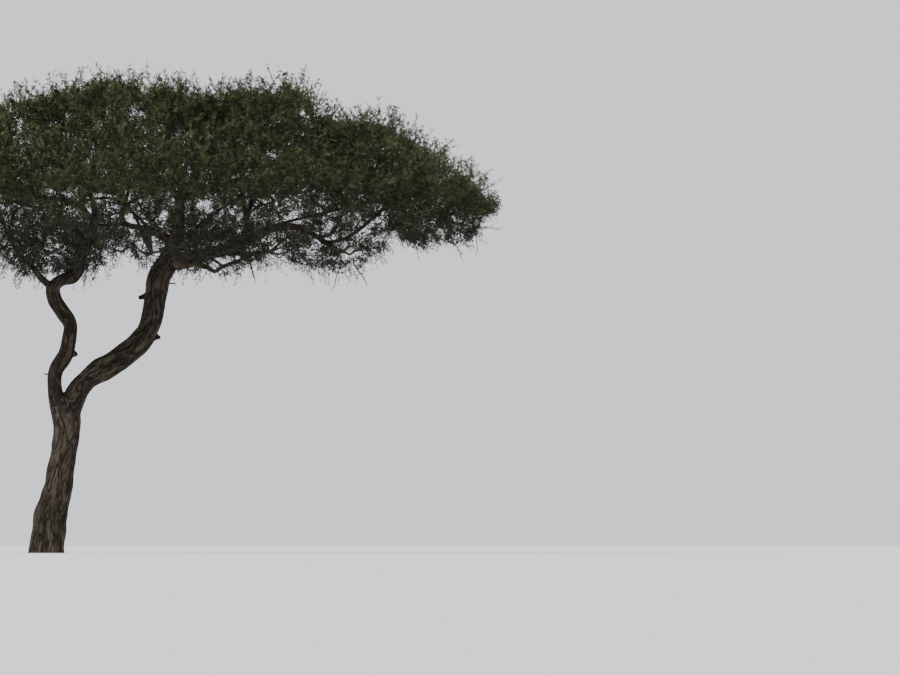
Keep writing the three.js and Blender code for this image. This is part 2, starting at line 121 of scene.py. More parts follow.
# Snags: stem, how far up it, degrees, how far they stand out, radius, share of it left at the end
SNAGS = [
    ["left_stem", 0.33, 12, 115, 60, 0.8],
    ["left_stem", 0.197, 170, 85, 22, 0.5],
    ["right_stem", 0.485, 12, 190, 58, 0.85],
    ["right_stem", 0.76, 200, 165, 60, 0.9],
    ["right_stem", 0.81, -8, 145, 22, 0.5],
]
ROOTS = {"count": 5, "rise": 520, "share": 0.07, "turn": 0.6}
PORTS = [0.3, 0.43, 0.56, 0.69, 0.8]
HUB_PORTS = [0.93]
BOUGH_TIP = 38
BOUGH_GAIN = 0.019
BOUGH_DEPTH = 0.62
BOUGH_WAY = {"along": 0.55, "ahead": 0.45, "first": 0.36, "second": 0.34, "widest_foot": 0.8}
BOWS = [0, 0.08, -0.08, 0.16, -0.16]
HUB_PULL = 0.35  # how much a bough prefers a port near the hub to one near its own tip

# The bark's skin and its relief
BARK = {
    "voxel": 24, "soften": 6, "soften_by": 0.5,
    "sides": 14, "thick_sides": 24, "snag_sides": 10, "snag_steps": 6,
    "spacing": 60, "rough_samples": 40, "fewest_samples": 4, "samples_to_compare": 60,
    "furrow": 75, "stretch": 5.5, "lump": 320, "lump_share": 0.09,
    "depth_share": 0.05, "deepest": 15, "ridge": 0.9, "sink": 0.5,
    "belongs": 2.5, "blend": 16,
}
GRAIN = "grain"  # names the attribute that tells the bark's material where it lies on its limb

# Fine twigs: the model's rule, carried on to many more tips that keep inside the leaves' outline
STEM_SHARE = 0.35
THRIFT = 0.45
SHELLS = [0.22, 0.4, 0.56, 0.7, 0.82, 0.92, 1.0]  # shares of the way to a space's edge where tips lie
# Tips on a shell whose every part lies FAR_EDGE away; on nearer ones they are fewer, as the area is smaller
SHELL_TIPS = {"crown_top": 350, "crown_inner": 400, "crown_rim": 430, "crown_under": 400}
FAR_EDGE = 2000
SHELL_LEAST = 6
SHELL_JITTER = 0.12
TIP_JITTER = 45
TWIG = {"stem": 40.0, "tip": 4.5, "power": 0.5, "round_from": 16, "sides": 3, "round_sides": 6, "end": 0.6}
# The twigs end this far inside the leaves' outline, and those that would cross it lie in a layer under it
INSET = {"rim": 150, "top": 100, "base": 70, "layer": 190}
STRAYS_KEPT = 0.4  # of those that would cross the rim or the base
CROWN_LUMP = {"wide": 1500, "deep": 130}
# How high and how low the leaves reach along the crown: [across, height]
LEAF_TOP = [
    [-1000, 9270], [-260, 9280], [150, 9420], [560, 9550], [1590, 9740], [2100, 9330], [2410, 9460],
    [2920, 9270], [3640, 9310], [4150, 9410], [4500, 9380], [4870, 9630], [5280, 9390], [5690, 8760],
    [6900, 8840], [7270, 8560], [7740, 8280], [8150, 7990], [8660, 7580], [8970, 7250], [9280, 7000],
]
LEAF_BASE = [
    [-1000, 5900], [-650, 5600], [-240, 5540], [300, 5640], [850, 5720], [1080, 5960], [1360, 6190],
    [1590, 6270], [1770, 5960], [1960, 5820], [3430, 5690], [3840, 5780], [4460, 5840], [4770, 6100],
    [5070, 5960], [5480, 5720], [6200, 5720], [6710, 6000], [7060, 6500], [7430, 6300], [8600, 6240],
    [8780, 6350], [8900, 6860], [9150, 6960],
]
BASE_SLACK = 220  # the leaves may hang this far under the dome's own base
# From above the rim is lobed: each wave is [lobes round the crown, turn, share of the crown's depth]
RIM_WAVES = [[5, 0.6, 0.07], [9, 2.4, 0.04]]
RIM_WAVE_POWER = 3  # towards the crown's middle the waves die out
# Above this height the foliage is full; at the crown's base it is this full: [across, share]
FULL_FROM = 7300
BASE_FULLNESS = [
    [-1000, 0.45], [-700, 0.6], [-300, 1.3], [350, 1.3], [900, 0.7], [1300, 0.45], [2500, 0.7], [3300, 1.0],
    [4500, 0.55], [6900, 0.7], [7600, 1.8], [8300, 3.0],
]
# Gaps that show the sky, as the photograph shows them: middle across, middle height, half their width,
# half their height, and the share of the shoots, and again of the sprays, that their middles keep
GAPS = [
    [30, 7420, 120, 110, 0.3], [460, 7370, 200, 120, 0.35], [150, 6180, 360, 180, 0.65],
    [890, 6950, 110, 160, 0.1], [890, 7350, 160, 110, 0.45], [1110, 7290, 210, 125, 0.12],
    [1720, 6810, 240, 150, 0.1], [1860, 9100, 300, 270, 0.45], [2100, 6300, 240, 340, 0.3],
    [2370, 6910, 110, 110, 0.15], [2880, 7950, 140, 110, 0.4], [3250, 7130, 190, 160, 0.25],
    [3560, 5990, 300, 150, 0.25], [4620, 8200, 130, 190, 0.4], [4720, 6180, 300, 230, 0.45],
    [5040, 6880, 190, 140, 0.2], [5400, 8980, 290, 210, 0.45], [5400, 6200, 200, 150, 0.4],
    [5750, 6500, 330, 260, 0.3], [6200, 6180, 250, 200, 0.25], [6450, 6650, 300, 250, 0.45],
    [7020, 6450, 240, 190, 0.2], [8150, 7780, 280, 210, 0.5], [8090, 6580, 140, 100, 0.4],
]
# A gap's edge: shares of its size where it is full and bare, how far the edge wavers, and how many times
GAP_EDGE = {"full": 1.15, "bare": 0.5, "waver": 0.22, "waves": 3}

SHOOT = {
    "on_thinner": 12, "a_twig": 1.9, "long": (110, 190), "foot": 3.6,
    "towards_tip": 0.6,  # under 1 crowds the shoots towards their twig's tip
    "flatter": [0.7, 0.7, 1], "along": 0.7, "out": 0.5, "stray": 0.8,
}
# Sprays on a shoot: the share of its length where each stands, and how far it spreads to the side
SHOOT_SPRAYS = [[1.0, 0.25], [0.8, 1.0], [0.55, 1.0], [0.3, 1.0]]
SPRAY_AHEAD = {"most": 1.1, "less_by_spread": 0.5}
TOP_RICHNESS = {"more": 0.65, "layer": 700}  # the crown's topmost layer has up to this share more shoots
SPRAYS = 122000  # with this many, each colour's piece stays under 200,000 triangles
# A spray is a feathered leaf: pairs of narrow pinnae, a triangle each, sized as shares of its length
SPRAY = {
    "long": (85, 130), "tilt": 0.9, "pairs": 3, "along": (0.16, 0.84), "reach": 0.42,
    "swell": (0.55, 0.45),  # of the reach: at the ends of the swelling, and what its middle has more
    "swell_turn": (0.15, 0.75),  # where on a half wave the swelling starts, and how much of it there is
    "wide": 0.31, "open": (74, 30), "droop": 0.16,
}
# The leaves are larger in the crown's dense upper part: [height, share of their length]
SPRAY_SIZES = [[5600, 0.86], [7000, 0.95], [8400, 1.2]]
# They are smaller near the crown's outline, where each stands out against the sky
EDGE = {"top_layer": 300, "base_layer": 300, "rim_layer": 0.045, "least": 0.68}
# Deep inside the crown, where nobody sees one spray from another, fewer are kept
INSIDE = {"share": 0.78, "under_top": 500, "over_base": 1000, "kept": 0.75}
WHIP = {
    "share": 0.5, "base_share": 0.5, "rim_from": 0.82, "base_layer": 260, "top_layer": 380,
    "long": (280, 720), "base_long": (150, 380),
    "shorter": (1, 0.8, 0.6, 0.45, 0.3),  # lengths tried in turn until the whip ends inside the box
    "foot": 5.0, "tip": 2.0, "steps": 3, "sides": 3,
    "from": [2920, 0, 6520],  # whips point away from here, less so along the sides where the reach is long
    "reach": [6450, 5600, 2000],
    "stray": 0.7, "sag": 0.8, "sag_under": 7200, "sag_layer": 600, "bend": 0.35,
    "leaf_gap": 40, "fewest_leaves": 2, "leaf_size": 0.95, "leaves_from": 0.25, "leaves_ahead": 0.35,
}
# Leafy sprigs that stand highest out of the crown: [across, height] of their tips
SPRIGS = [
    [-120, 9480], [1050, 9760], [1270, 9820], [1560, 9900], [1860, 9950], [2200, 9840], [2590, 9940],
    [2740, 9860], [3050, 9690], [3640, 9760], [4010, 9840], [4160, 9900], [4900, 9850], [5110, 9920],
    [5380, 9540], [5690, 9370], [6600, 9000], [7060, 9160], [7290, 9040], [7780, 8520], [8290, 8150],
    [9050, 7560],
]
SPRIG = {"long": 520, "lean": 160, "depth": 500, "count": 4, "apart": 110}
# Bare twigs that hang below the crown: how far away, [across, height] of start and end, radius
HANGING = [
    [-560, [6037, 5986], [5853, 5350], 18],
    [-700, [6283, 5904], [6591, 5453], 16],
    [-1450, [4172, 5945], [4295, 5474], 15],
    [-300, [8800, 6500], [8806, 6130], 9],
]
HANGING_TWIG = {"tip": 7, "nearer": 60, "waver": 14, "places": 6, "sides": 5}

# The leaves' colours from darkest to palest; given out by height, they paint light on the crown's top and
# shade lower down
LEAF_COLOURS = {
    "leaves_dark": (0.012, 0.016, 0.006),
    "leaves_olive": (0.021, 0.027, 0.009),
    "leaves_green": (0.031, 0.041, 0.012),
    "leaves_pale": (0.05, 0.058, 0.019),
}
LEAF_SPREAD = 0.22  # how loosely the colours follow the height, by which light and shade are painted on the crown
SEED = 41

# Patterns of the materials and, as [place from 0 to 1, colour], the colours that they are turned to
PATTERNS = {
    "plates": {"Scale": 8.5, "Detail": 3.0, "Roughness": 0.5, "Distortion": 0.9},
    "fibres": {"Scale": 34.0, "Detail": 6.0, "Roughness": 0.65},
    "weather": {"Scale": 2.3, "Detail": 4.0, "Roughness": 0.55},
    "blotches": {"Scale": 9.0, "Detail": 4.0, "Roughness": 0.6},
    "veins": {"Scale": 160.0, "Detail": 2.0},
}
PLATE_EDGES = [[0.0, (0.0, 0.0, 0.0)], [0.035, (0.35, 0.35, 0.35)], [0.11, (1.0, 1.0, 1.0)]]
# Painted shade: the fissures between the bark's plates are made darker, as shade in their recesses
PAINTED_FISSURE_SHADE = [[0.0, (0.16, 0.15, 0.14)], [1.0, (1.0, 1.0, 1.0)]]
BARK_TINTS = [[0.32, (0.03, 0.024, 0.019)], [0.52, (0.062, 0.051, 0.041)], [0.7, (0.11, 0.095, 0.078)]]
BARK_PATCHES = [[0.4, (0.7, 0.67, 0.64)], [0.68, (1.15, 1.15, 1.08)]]
TWIG_TINTS = [[0.35, (0.022, 0.016, 0.012)], [0.65, (0.062, 0.05, 0.038)]]
ALONG_SCALE = 0.22  # under 1 draws the pattern out along the limb
NOISE_MIDDLE = 0.5
FIBRE_RELIEF = 0.25  # how high the fibres stand beside the plates
BARK_BUMP = {"Strength": 0.9, "Distance": 0.022}  # the distance is in metres
LEAF_BUMP = {"Strength": 0.25, "Distance": 0.002}

FLOOR_RADIUS = 4000000
FLOOR_SIDES = 64
FLOOR_COLOUR = (0.78, 0.77, 0.75)
SKY = {"colour": (0.93, 0.95, 1.0), "strength": 1.1}
KEY = {"colour": (1.0, 0.96, 0.9), "strength": 3.2, "soft": 12, "turns": (48, 0, -38)}


def unit(v):
    return v / np.linalg.norm(v, axis=-1, keepdims=True)


def length(v):
    return np.linalg.norm(v, axis=-1)


def read_rows(items, field, kind):
    values = np.empty(len(items) * 3, kind)
    items.foreach_get(field, values)
    return values.reshape(-1, 3)


def between_rows(rows, across):
    """The value at these places, from rows of [place, value]"""
    return np.interp(across, *zip(*rows))


def in_scene(name, data):
    piece = bpy.data.objects.new(name, data)
    bpy.context.scene.collection.objects.link(piece)
    return piece


# Courses: smooth lines through knots, as in the model
class Line:
    def tangent(self, t):
        step = 0.0001
        return unit(self.point(min(t + step, 1)) - self.point(max(t - step, 0)))

    def traced(self, places):
        """Middles and radii at shares of the way along the line"""
        return np.array([self.point(t) for t in places]), np.array([self.radius(t) for t in places])


class KnotLine(Line):
    def __init__(self, limb):
        last = len(limb["knots"]) - 1
        start, end = limb["depth"]
        points = [[x, start + (end - start) * i / last, z] for i, (x, z, _) in enumerate(limb["knots"])]
        self.points = np.array(points, float)
        self.radii = [radius for _, _, radius in limb["knots"]]

    def point(self, t):
        points = self.points
        last = len(points) - 1
        place = last * t
        i = min(int(place), last - 1)
        w = place - i
        before = points[i - 1] if i > 0 else 2 * points[0] - points[1]
        after = points[i + 2] if i + 2 <= last else 2 * points[last] - points[last - 1]
        a, b = points[i], points[i + 1]
        gaps = [np.sum((q - p) ** 2) ** 0.25 for p, q in ((before, a), (a, b), (b, after))]
        leave = ((a - before) / gaps[0] - (b - before) / (gaps[0] + gaps[1]) + (b - a) / gaps[1]) * gaps[1]
        arrive = ((b - a) / gaps[1] - (after - a) / (gaps[1] + gaps[2]) + (after - b) / gaps[2]) * gaps[1]
        square = -3 * a + 3 * b - 2 * leave - arrive
        cube = 2 * a - 2 * b + leave + arrive
        return a + leave * w + square * w**2 + cube * w**3

    def radius(self, t):
        last = len(self.radii) - 1
        i = min(int(t * last), last - 1)
        w = t * last - i
        return self.radii[i] * (1 - w) + self.radii[i + 1] * w


class BentLine(Line):
    def __init__(self, ends, foot, tip):
        self.ends = ends
        self.foot = foot
        self.tip = tip

    def point(self, t):
        a, b, c, d = self.ends
        s = 1 - t
        return s**3 * a + 3 * s * s * t * b + 3 * s * t * t * c + t**3 * d

    def radius(self, t):
        return self.foot + (self.tip - self.foot) * t


# The masses and the space that each keeps to
class Mass:
    def __init__(self, tier, i):
        self.tier = tier
        self.name = f"{tier['name']}_{i + 1}"
        turn = math.radians(tier["first"] + 360 * i / tier["count"])
        self.middle = np.array([
            CROWN["middle"] + tier["reach"] * CROWN["reach_x"] * math.cos(turn),
            tier["reach"] * CROWN["reach_y"] * math.sin(turn),
            tier["z"],
        ])
        self.entry = None


masses = [Mass(tier, i) for tier in TIERS for i in range(tier["count"])]


def crown_share(p):
    return np.hypot((p[..., 0] - CROWN["middle"]) / CROWN["reach_x"], p[..., 1] / CROWN["reach_y"])


def crown_top(share):
    return CROWN["rim"] + (CROWN["top"] - CROWN["rim"]) * (1 - share ** CROWN["dome_power"])


def crown_base(share):
    return CROWN["base"] + (CROWN["rim"] - CROWN["base"]) * share ** CROWN["base_power"]


def in_space(mass, p):
    share = crown_share(p)
    good = (share <= 1) & (p[..., 2] <= crown_top(share)) & (p[..., 2] >= crown_base(share))
    out = p - mass.middle
    flat = np.hypot(out[..., 0], out[..., 1]) / mass.tier["round"]
    good &= flat ** SPACE["power"] + np.abs(out[..., 2] / mass.tier["deep"]) ** SPACE["power"] <= 1
    for other in masses:
        if other is mass:
            continue
        apart = other.middle - mass.middle
        long = length(apart)
        good &= long / 2 - out @ apart / long > SPACE["margin"]
    return good


def edge_distance(mass, ways):
    near = np.zeros(len(ways))
    far = np.full(len(ways), mass.tier["round"] * 2.0)
    for _ in range(SPACE["halvings"]):
        half = (near + far) / 2
        good = in_space(mass, mass.middle + ways * half[:, None])
        near = np.where(good, half, near)
        far = np.where(good, far, half)
    return near


# The limbs, worked out as in the model
lines = {"trunk": KnotLine(TRUNK), "left_stem": KnotLine(LEFT_STEM), "right_stem": KnotLine(RIGHT_STEM)}


def ports():
    """Where boughs may leave the limbs that stand so far"""
    for name, line in lines.items():
        if name not in ("trunk", "left_stem"):
            for t in HUB_PORTS if name == "right_stem" else PORTS:
                yield line, t, line.point(t)


def bough_line(port, tip, outward, bow):
    line, t, at = port
    long = length(tip - at)
    leave = unit(BOUGH_WAY["along"] * line.tangent(t) + BOUGH_WAY["ahead"] * unit(tip - at))
    aside = unit(np.cross(leave, [0, 0, 1]))
    first = at + leave * long * BOUGH_WAY["first"] + aside * bow * long
    second = tip - outward * long * BOUGH_WAY["second"] + aside * bow * long
    foot = min(BOUGH_TIP + BOUGH_GAIN * long, BOUGH_WAY["widest_foot"] * line.radius(t))
    return BentLine((at, first, second, tip), max(foot, BOUGH_TIP), BOUGH_TIP)


def miss(line, points):
    """How far points of a limb's surface lie from where this line would have them, on average"""
    middles, radii = line.traced(np.linspace(0, 1, BARK["samples_to_compare"]))
    away = length(points[:, None] - middles)
    nearest = away.argmin(axis=1)
    return np.abs(away.min(axis=1) - radii[nearest]).mean()


def grow_boughs():
    for bough in BOUGHS:
        lines[bough["name"]] = KnotLine(bough)
        for mass in masses:
            if mass.name == bough["carries"]:
                mass.entry = lines[bough["name"]]
    hub = lines["upright_bough"].point(0)
    waiting = [mass for mass in masses if mass.entry is None]
    for mass in sorted(waiting, key=lambda mass: length(mass.middle - hub)):
        inward = unit(hub - mass.middle)
        tip = mass.middle + inward * BOUGH_DEPTH * edge_distance(mass, inward[None])[0]
        port = min(ports(), key=lambda p: length(p[2] - tip) + HUB_PULL * length(p[2] - hub))
        outward = unit(mass.middle - tip)
        name = f"bough_to_{mass.name}"
        surface = read_rows(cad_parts[name].data.vertices, "co", float) / MM
        ways = [bough_line(port, tip, outward, bow) for bow in BOWS]
        mass.entry = min(ways, key=lambda way: miss(way, surface))
        lines[name] = mass.entry


# Meshes from arrays of places in millimetres
def mesh_object(name, places, corners, sides, smooth):
    """corners lists the vertex numbers of all faces one after another, each face with this many sides"""
    mesh = bpy.data.meshes.new(name)
    places = np.asarray(places, np.float32) * MM
    corners = np.asarray(corners, np.int32).ravel()
    count = len(corners) // sides
    mesh.vertices.add(len(places))
    mesh.vertices.foreach_set("co", places.ravel())
    mesh.loops.add(len(corners))
    mesh.loops.foreach_set("vertex_index", corners)
    mesh.polygons.add(count)
    mesh.polygons.foreach_set("loop_start", np.arange(count, dtype=np.int32) * sides)
    mesh.update(calc_edges=True)
    mesh.polygons.foreach_set("use_smooth", np.full(count, smooth))
    return in_scene(name, mesh)


def rings_along(middles, radii, sides, swell=None):
    """Rings of vertices round a polyline, with no twist from one to the next"""
    along = unit(np.gradient(middles, axis=0))
    across = np.array([0.0, 1.0, 0.0])
    nearly = 0.9
    if abs(along[0] @ across) > nearly:
        across = np.array([1.0, 0.0, 0.0])
    turns = np.arange(sides) * 2 * math.pi / sides
    rings = []
    for k, middle in enumerate(middles):
        across = unit(across - along[k] * (across @ along[k]))
        over = np.cross(along[k], across)
        reach = radii[k] * (swell(middle[2], turns) if swell else 1)
        spokes = np.outer(np.sin(turns) * reach, across) + np.outer(np.cos(turns) * reach, over)
        rings.append(middle + spokes)
    return np.concatenate(rings)


class Tubes:
    """Closed tubes of triangles, gathered into one mesh"""

    def __init__(self):
        self.places = []
        self.faces = []
        self.count = 0

    def add(self, middles, radii, sides, swell=None):
        rings = rings_along(middles, radii, sides, swell)
        steps = len(middles) - 1
        ends = np.array([middles[0], middles[-1]])
        first = self.count
        k, j = np.meshgrid(np.arange(steps), np.arange(sides), indexing="ij")
        a = first + k * sides + j
        b = first + k * sides + (j + 1) % sides
        sheet = np.stack([a, b, b + sides, a, b + sides, a + sides], axis=-1).reshape(-1, 3)
        j = np.arange(sides)
        foot = first + len(rings)
        low = np.stack([np.full(sides, foot), first + (j + 1) % sides, first + j], axis=-1)
        last = first + steps * sides
        high = np.stack([np.full(sides, foot + 1), last + j, last + (j + 1) % sides], axis=-1)
        self.places += [rings, ends]
        self.faces += [sheet, low, high]
        self.count += len(rings) + 2

    def add_cone(self, foot, tip, radius):
        """A short three-sided twig that ends in a point"""
        way = tip - foot
        across = unit(np.cross(way, LEANING))
        over = unit(np.cross(way, across))
        wide, back = 0.87, 0.5  # the other two corners of an even triangle whose first is at 1
        a = foot + across * radius
        b = foot + (over * wide - across * back) * radius
        c = foot - (over * wide + across * back) * radius
        n = self.count
        self.places.append(np.array([a, b, c, tip]))
        self.faces.append(n + np.array([[0, 1, 3], [1, 2, 3], [2, 0, 3], [0, 2, 1]]))
        self.count += 4

    def piece(self, name):
        return mesh_object(name, np.concatenate(self.places), np.concatenate(self.faces), 3, True)


# Bark: all limbs as one skin, smoothed at the forks, with furrows along the limbs
def root_swell(z, turns):
    low = max(0, 1 - z / ROOTS["rise"])
    return 1 + ROOTS["share"] * low * low * (1 + np.cos(ROOTS["count"] * turns + ROOTS["turn"]))


def sampled(line):
    rough, _ = line.traced(np.linspace(0, 1, BARK["rough_samples"]))
    long = length(np.diff(rough, axis=0)).sum()
    return line.traced(np.linspace(0, 1, max(int(long / BARK["spacing"]), BARK["fewest_samples"])))


def limb_tubes():
    tubes = Tubes()
    for name, line in lines.items():
        thick = name in ("trunk", "left_stem", "right_stem")
        middles, radii = sampled(line)
        sides = BARK["thick_sides" if thick else "sides"]
        tubes.add(middles, radii, sides, root_swell if name == "trunk" else None)
    add_snags(tubes, thin=False)
    return tubes


def add_snags(tubes, thin):
    """The thin snags go with the twigs, because the bark's skin would lose them"""
    steps = BARK["snag_steps"]
    for name, t, side, long, thick, blunt in SNAGS:
        if (thick <= BARK["voxel"]) != thin:
            continue
        turn = math.radians(side)
        foot = lines[name].point(t)
        tip = foot + np.array([math.cos(turn), 0, math.sin(turn)]) * (lines[name].radius(t) + long)
        middles = foot + np.linspace(0, 1, steps)[:, None] * (tip - foot)
        tubes.add(middles, thick * np.linspace(1, blunt, steps), BARK["snag_sides"])


def apply_modifiers(piece):
    changed = piece.evaluated_get(bpy.context.evaluated_depsgraph_get())
    mesh = bpy.data.meshes.new_from_object(changed)
    piece.modifiers.clear()
    old = piece.data
    piece.data = mesh
    bpy.data.meshes.remove(old)


def furrow(grain):
    """Ridges that run along a limb, and part and meet again, and the swellings of its wood"""
    near = Vector(grain / BARK["furrow"])
    near.z /= BARK["stretch"]
    ridge = 1 - 2 * abs(noise.noise(near))
    lump = noise.noise(Vector(grain / BARK["lump"]))
    return ridge, lump


def grain_of_limbs(places):
    """Where each place on the skin lies on its limb: round it in two numbers and along it in the third.
    Near a fork both limbs count, so that one grain runs into the other. Also the limb's radius there."""
    grains = np.zeros((len(places), 4))
    weights = np.full(len(places), TINY)
    for line in lines.values():
        middles, radii = sampled(line)
        along = unit(np.gradient(middles, axis=0))
        steps = length(np.diff(middles, axis=0))
        run = middles[0, 2] + np.concatenate([[0], np.cumsum(steps)])
        margin = BARK["belongs"] * radii.max()
        low, high = middles.min(axis=0) - margin, middles.max(axis=0) + margin
        near = np.flatnonzero(np.all((places > low) & (places < high), axis=1))
        gaps = length(places[near, None] - middles) / radii
        best = gaps.argmin(axis=1)
        out = places[near] - middles[best]
        step = np.sum(out * along[best], axis=1)
        out -= along[best] * step[:, None]
        turn = np.arctan2(out[:, 1], out[:, 0])
        radius = radii[best]
        found = np.stack([np.cos(turn) * radius, np.sin(turn) * radius, run[best] + step, radius], axis=1)
        weight = gaps[np.arange(len(near)), best] ** -BARK["blend"]
        grains[near] += found * weight[:, None]
        weights[near] += weight
    grains /= weights[:, None]
    return grains[:, :3], grains[:, 3]


def give_relief(piece):
    mesh = piece.data
    places = read_rows(mesh.vertices, "co", np.float32) / MM
    normals = read_rows(mesh.vertex_normals, "vector", np.float32)
    grains, radii = grain_of_limbs(places)
    depths = np.minimum(BARK["deepest"], BARK["depth_share"] * radii)
    reliefs = np.array([furrow(grain) for grain in grains])
    push = depths * (BARK["ridge"] * reliefs[:, 0] - BARK["sink"])
    push += BARK["lump_share"] * radii * reliefs[:, 1]
    places = places + normals * push[:, None]
    places[:, 2] = np.maximum(places[:, 2], 0)
    mesh.vertices.foreach_set("co", (places * MM).astype(np.float32).ravel())
    grain = mesh.attributes.new(GRAIN, "FLOAT_VECTOR", "POINT")
    grain.data.foreach_set("vector", (grains * MM).astype(np.float32).ravel())
    mesh.update()


def cut_at_ground(piece):
    bm = bmesh.new()
    bm.from_mesh(piece.data)
    everything = bm.verts[:] + bm.edges[:] + bm.faces[:]
    ground = {"plane_co": (0, 0, 0), "plane_no": (0, 0, 1)}
    cut = bmesh.ops.bisect_plane(bm, geom=everything, clear_inner=True, **ground)
    rim = [e for e in cut["geom_cut"] if isinstance(e, bmesh.types.BMEdge)]
    bmesh.ops.contextual_create(bm, geom=rim)
    bm.to_mesh(piece.data)
    bm.free()


def make_bark():
    piece = limb_tubes().piece("bark_of_limbs")
    remesh = piece.modifiers.new("skin", "REMESH")
    remesh.mode = "VOXEL"
    remesh.voxel_size = BARK["voxel"] * MM
    remesh.use_smooth_shade = True
    soften = piece.modifiers.new("soften", "SMOOTH")
    soften.factor = BARK["soften_by"]
    soften.iterations = BARK["soften"]
    apply_modifiers(piece)
    cut_at_ground(piece)
    give_relief(piece)
    return piece


# Fine twigs
def even_directions(count, rng):
    up = 1 - (2 * np.arange(count) + 1) / count
    turn = 2 * math.pi * ((rng.random() + np.arange(count) * GOLDEN) % 1)
    flat = np.sqrt(1 - up * up)
    return np.stack([flat * np.cos(turn), flat * np.sin(turn), up], axis=1)


def lump_of_crown(p):
    """From -1 to 1: where the crown's surface swells and dips"""
    return noise.noise(Vector(p) / CROWN_LUMP["wide"])


def leaf_top(p):
    return np.minimum(between_rows(LEAF_TOP, p[..., 0]), crown_top(crown_share(p)))


def leaf_base(p):
    return np.maximum(between_rows(LEAF_BASE, p[..., 0]), crown_base(crown_share(p)) - BASE_SLACK)


def lobed(p):
    """How deep the crown still is at these places, as a share of its depth without the lobes"""
    turn = np.arctan2(p[..., 1] / CROWN["reach_y"], (p[..., 0] - CROWN["middle"]) / CROWN["reach_x"])
    dip = sum(deep * (1 + np.sin(count * turn + start)) for count, start, deep in RIM_WAVES)
    return 1 - dip * crown_share(p) ** RIM_WAVE_POWER


def fullness(p):
    """How much of the foliage grows at a place: all of it in the crown's upper part, less below"""
    least = between_rows(BASE_FULLNESS, p[..., 0])
    up = np.clip((p[..., 2] - CROWN["base"]) / (FULL_FROM - CROWN["base"]), 0, 1)
    return least + (1 - least) * up


def inside(p):
    deep = crown_share(p) < INSIDE["share"]
    deep &= p[:, 2] < leaf_top(p) - INSIDE["under_top"]
    return deep & (p[:, 2] > leaf_base(p) + INSIDE["over_base"])


def edge_size(p):
    """How large the leaves are at a place, for its depth under the crown's outline"""
    under_top = (leaf_top(p) - p[:, 2]) / EDGE["top_layer"]
    over_base = (p[:, 2] - leaf_base(p)) / EDGE["base_layer"]
    from_rim = (1 - crown_share(p)) / EDGE["rim_layer"]
    deep = np.clip(np.minimum(np.minimum(under_top, over_base), from_rim), 0, 1)
    return EDGE["least"] + (1 - EDGE["least"]) * deep


def camera_place():
    across = (PHOTO["width"] / 2 - FOOT_PIXEL[0]) * MM_A_PIXEL
    away = PHOTO["width"] * MM_A_PIXEL * CAMERA["lens"] / CAMERA["sensor"]
    return across, away, CAMERA["height"]


def as_seen(p):
    """Where the photograph shows these places: across and height on the upright plane through the trunk"""
    across, away, height = camera_place()
    nearer = away / (away + p[:, 1])
    return across + (p[:, 0] - across) * nearer, height + (p[:, 2] - height) * nearer


def share_in_gaps(p):
    """How much is kept at these places: all of it outside the gaps, least in their middles"""
    across, height = as_seen(p)
    kept = np.ones(len(p))
    for x, z, half_width, half_height, least in GAPS:
        out = (across - x) / half_width
        up = (height - z) / half_height
        wavers = 1 + GAP_EDGE["waver"] * np.sin(GAP_EDGE["waves"] * np.arctan2(up, out) + x)
        far = np.hypot(out, up) * wavers
        rise = np.clip((far - GAP_EDGE["bare"]) / (GAP_EDGE["full"] - GAP_EDGE["bare"]), 0, 1)
        kept = np.minimum(kept, least + (1 - least) * rise)
    return kept


def into_crown(tips, rng):
    """Tips moved to just inside the leaves' outline and its lobes; of the strays only some are kept"""
    middle = np.array([CROWN["middle"], 0])
    most = 1 - (INSET["rim"] + INSET["layer"] * rng.random(len(tips))) / CROWN["reach_x"]
    inward = np.minimum(most / np.maximum(crown_share(tips), TINY), 1)
    tips[:, :2] = middle + (tips[:, :2] - middle) * inward[:, None]
    dip = np.array([CROWN_LUMP["deep"] * (0.5 - 0.5 * lump_of_crown(p)) for p in tips])
    highest = leaf_top(tips) - INSET["top"] - dip - INSET["layer"] * rng.random(len(tips))
    lowest = leaf_base(tips) + INSET["base"] + INSET["layer"] * rng.random(len(tips))
    strays = (inward < 1) | (tips[:, 2] < lowest)
    tips[:, 2] = np.clip(tips[:, 2], lowest, np.maximum(highest, lowest))
    tips[:, 1] *= lobed(tips)
    return tips[~strays | (rng.random(len(tips)) < STRAYS_KEPT)]


def shell_tips(mass, rng):
    """Twig tips on nested shells, out to the edge of the mass's space"""
    flat = mass.tier["deep"] / mass.tier["round"]
    tips = []
    for shell in SHELLS:
        ways = even_directions(max(int(SHELL_TIPS[mass.tier["name"]] * shell**2), SHELL_LEAST), rng)
        ways = unit(ways * [1, 1, flat])
        edges = edge_distance(mass, ways)
        kept = rng.random(len(ways)) < (edges / FAR_EDGE) ** 2
        share = shell * (1 + SHELL_JITTER * (rng.random(kept.sum()) - 0.5))
        tips.append(mass.middle + ways[kept] * (edges[kept] * np.minimum(share, 1))[:, None])
    tips = np.concatenate(tips)
    tips += rng.normal(0, TIP_JITTER, tips.shape)
    tips = into_crown(tips, rng)
    return tips[rng.random(len(tips)) < fullness(tips)]


